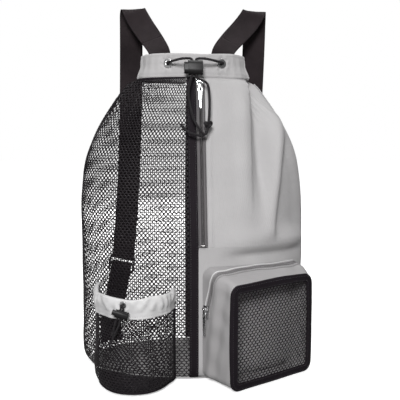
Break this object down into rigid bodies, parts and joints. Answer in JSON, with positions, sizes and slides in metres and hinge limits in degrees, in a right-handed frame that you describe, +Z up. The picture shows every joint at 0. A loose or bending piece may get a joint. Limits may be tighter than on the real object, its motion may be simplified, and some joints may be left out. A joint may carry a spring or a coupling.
{
  "type": "drawstring backpack",
  "caption": "Drawstring backpack, half open net and half plain cloth, with a cinched collar, front zip, bottle pocket, boxed zip pocket and webbing shoulder straps.",
  "frame": {"origin": "centre of the bag's flat base, on the ground", "axes": "+Z up, -Y out of the front with the zip, -X towards the net half and the wearer's right"},
  "size_m": [0.324, 0.263, 0.5247],
  "materials": {
    "net_black": "open hexagonal net",
    "cloth_grey": "plain woven polyester",
    "binding_black": "ribbed tape",
    "webbing_black": "ribbed webbing",
    "cord_black": "braided",
    "zip_tape": "twill tape",
    "zip_coil": "moulded",
    "plastic_black": "moulded satin",
    "nickel": "bright plated",
    "spring_steel": "drawn wire"
  },
  "bodies": {
    "bag": {"front_mesh_panel": "net_black", "back_mesh_panel": "net_black", "front_cloth_panel": "cloth_grey", "back_cloth_panel": "cloth_grey", "base_panel": "cloth_grey", "centre_binding": "binding_black", "back_binding": "binding_black", "neck_binding": "binding_black", "collar_casing": "cloth_grey", "collar_eyelets": "nickel", "drawcord": "cord_black", "front_zip_tape_left": "zip_tape", "front_zip_tape_right": "zip_tape", "front_zip_coil_left": "zip_coil", "front_zip_coil_right": "zip_coil", "front_zip_stops": "nickel", "bottle_pocket_net": "net_black", "bottle_pocket_base": "net_black", "bottle_pocket_hem": "cloth_grey", "bottle_pocket_eyelet": "nickel", "bottle_pocket_cord": "cord_black", "side_pocket_gusset": "cloth_grey", "side_pocket_net": "net_black", "side_pocket_binding": "binding_black", "side_zip_tape_outer": "zip_tape", "side_zip_tape_inner": "zip_tape", "side_zip_coil_outer": "zip_coil", "side_zip_coil_inner": "zip_coil", "side_zip_stop": "nickel", "left_strap_patch": "cloth_grey", "left_anchor_tab": "binding_black", "right_strap_patch": "cloth_grey", "right_anchor_tab": "binding_black"},
    "cord_lock": {"cord_lock_shell": "plastic_black", "cord_lock_spring": "spring_steel"},
    "cord_lock_button": {"cord_lock_button": "plastic_black"},
    "pocket_lock": {"pocket_lock_shell": "plastic_black", "pocket_lock_spring": "spring_steel"},
    "pocket_lock_button": {"pocket_lock_button": "plastic_black"},
    "front_slider": {"front_zip_slider": "nickel"},
    "front_puller": {"front_zip_puller": "nickel"},
    "side_slider": {"side_zip_slider": "nickel"},
    "side_puller": {"side_zip_puller": "nickel"},
    "left_shoulder_strap": {"left_strap": "webbing_black", "left_lower_webbing": "webbing_black"},
    "left_buckle": {"left_ladder_lock": "plastic_black"},
    "right_shoulder_strap": {"right_strap": "webbing_black", "right_lower_webbing": "webbing_black"},
    "right_buckle": {"right_ladder_lock": "plastic_black"}
  },
  "joints": [
    {"name": "cord_lock_slide", "type": "slide", "parent": "bag", "child": "cord_lock", "axis": [0, -0.2084, -0.9781], "range_m": [0, 0.036]},
    {"name": "cord_lock_press", "type": "slide", "parent": "cord_lock", "child": "cord_lock_button", "axis": [1, 0, 0], "range_m": [0, 0.0024], "stiffness_N_per_m": 250, "springref_m": -0.001, "deforming": ["cord_lock_spring"]},
    {"name": "pocket_lock_slide", "type": "slide", "parent": "bag", "child": "pocket_lock", "axis": [-0.309, 0, -0.9511], "range_m": [0, 0.012]},
    {"name": "pocket_lock_press", "type": "slide", "parent": "pocket_lock", "child": "pocket_lock_button", "axis": [0.9511, 0, -0.309], "range_m": [0, 0.002], "stiffness_N_per_m": 250, "springref_m": -0.001, "deforming": ["pocket_lock_spring"]},
    {"name": "front_zip_run", "type": "slide", "parent": "bag", "child": "front_slider", "axis": [0, -0.2084, -0.9781], "range_m": [0, 0.212]},
    {"name": "front_puller_swing", "type": "hinge", "parent": "front_slider", "child": "front_puller", "pos_m": [0.006, -0.0624, 0.40121], "axis": [-1, 0, 0], "range_deg": [0, 70]},
    {"name": "side_zip_run", "type": "slide", "parent": "bag", "child": "side_slider", "axis": [0, 0, 1], "range_m": [0, 0.025]},
    {"name": "side_puller_swing", "type": "hinge", "parent": "side_slider", "child": "side_puller", "pos_m": [0.00622, -0.11593, 0.101], "axis": [-0.5402, 0.8415, 0], "range_deg": [0, 100]},
    {"name": "right_strap_swing", "type": "hinge", "parent": "bag", "child": "right_shoulder_strap", "pos_m": [0.04705, 0.02647, 0.4439], "axis": [-0.188, -0.099, 0.9772], "range_deg": [-35, 2]},
    {"name": "right_ladder_lock_tilt", "type": "hinge", "parent": "right_shoulder_strap", "child": "right_buckle", "pos_m": [0.10604, 0.08944, 0.13602], "axis": [0.9825, 0.0441, 0.1809], "range_deg": [0, 25]},
    {"name": "left_strap_swing", "type": "hinge", "parent": "bag", "child": "left_shoulder_strap", "pos_m": [-0.04705, 0.02647, 0.4439], "axis": [-0.188, 0.099, -0.9772], "range_deg": [-35, 2]},
    {"name": "left_ladder_lock_tilt", "type": "hinge", "parent": "left_shoulder_strap", "child": "left_buckle", "pos_m": [-0.10604, 0.08944, 0.13602], "axis": [0.9825, -0.0441, -0.1809], "range_deg": [0, 25]}
  ]
}
